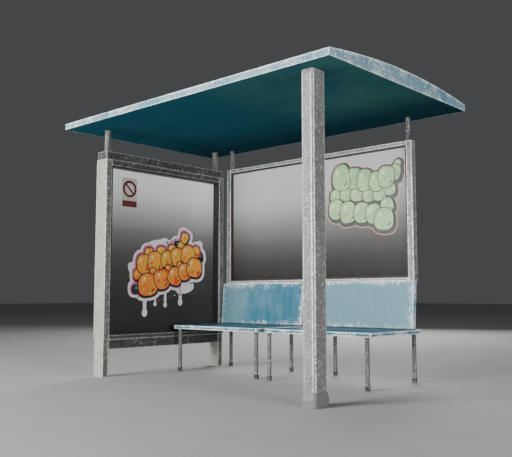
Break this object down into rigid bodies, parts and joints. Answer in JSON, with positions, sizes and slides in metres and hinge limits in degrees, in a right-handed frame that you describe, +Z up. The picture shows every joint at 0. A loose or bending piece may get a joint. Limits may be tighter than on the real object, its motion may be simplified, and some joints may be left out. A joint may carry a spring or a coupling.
{
  "type": "bus shelter",
  "caption": "Open-fronted bus shelter: arched flat-bottomed roof on a corner post, glazed end and back panels in steel frames, and a slatless slab bench with leaning backrests.",
  "frame": {"origin": "on the ground under the middle of the roof", "axes": "+X along the roof from the end panel towards the corner post, +Y from the open front to the back panel, +Z up"},
  "size_m": [3.09, 1.92, 2.4208],
  "materials": {
    "roof_paint": "worn satin paint",
    "soffit_paint": "stained satin paint",
    "weathered_steel": "weathered grey, scratched to bright metal at the edges",
    "leg_steel": "weathered galvanised",
    "bench_paint": "worn satin paint, scuffed pale along the edges",
    "grey_panel": "gloss, shaded from pale grey at the top to near black at the bottom",
    "black_trim": "satin black liner",
    "black_rubber": "matte",
    "notice_enamel": "gloss enamel"
  },
  "bodies": {
    "root": {"roof_top_sheet": "roof_paint", "roof_soffit": "soffit_paint", "roof_front_fascia": "roof_paint", "roof_rear_fascia": "roof_paint", "roof_left_end": "roof_paint", "roof_right_end": "roof_paint", "corner_post": "weathered_steel", "corner_post_shoe": "weathered_steel", "end_front_leg": "weathered_steel", "end_rear_leg": "weathered_steel", "end_top_rail": "weathered_steel", "end_bottom_rail": "weathered_steel", "end_casing_front": "weathered_steel", "end_casing_rear": "weathered_steel", "end_casing_top": "weathered_steel", "end_casing_bottom": "weathered_steel", "end_liner": "black_trim", "end_pane": "grey_panel", "end_front_tube": "weathered_steel", "end_rear_tube": "weathered_steel", "notice_plate": "notice_enamel", "back_left_stile": "weathered_steel", "back_right_stile": "weathered_steel", "back_top_rail": "weathered_steel", "back_bottom_rail": "weathered_steel", "back_liner": "black_trim", "back_pane": "grey_panel", "back_left_tube": "weathered_steel", "back_right_tube": "weathered_steel", "left_seat": "bench_paint", "right_seat": "bench_paint", "left_backrest": "bench_paint", "right_backrest": "bench_paint", "left_front_outer_leg": "leg_steel", "left_front_inner_leg": "leg_steel", "left_rear_outer_leg": "leg_steel", "left_rear_inner_leg": "leg_steel", "right_front_outer_leg": "leg_steel", "right_front_inner_leg": "leg_steel", "right_rear_outer_leg": "leg_steel", "right_rear_inner_leg": "leg_steel", "left_seat_feet": "black_rubber", "right_seat_feet": "black_rubber"}
  },
  "joints": []
}
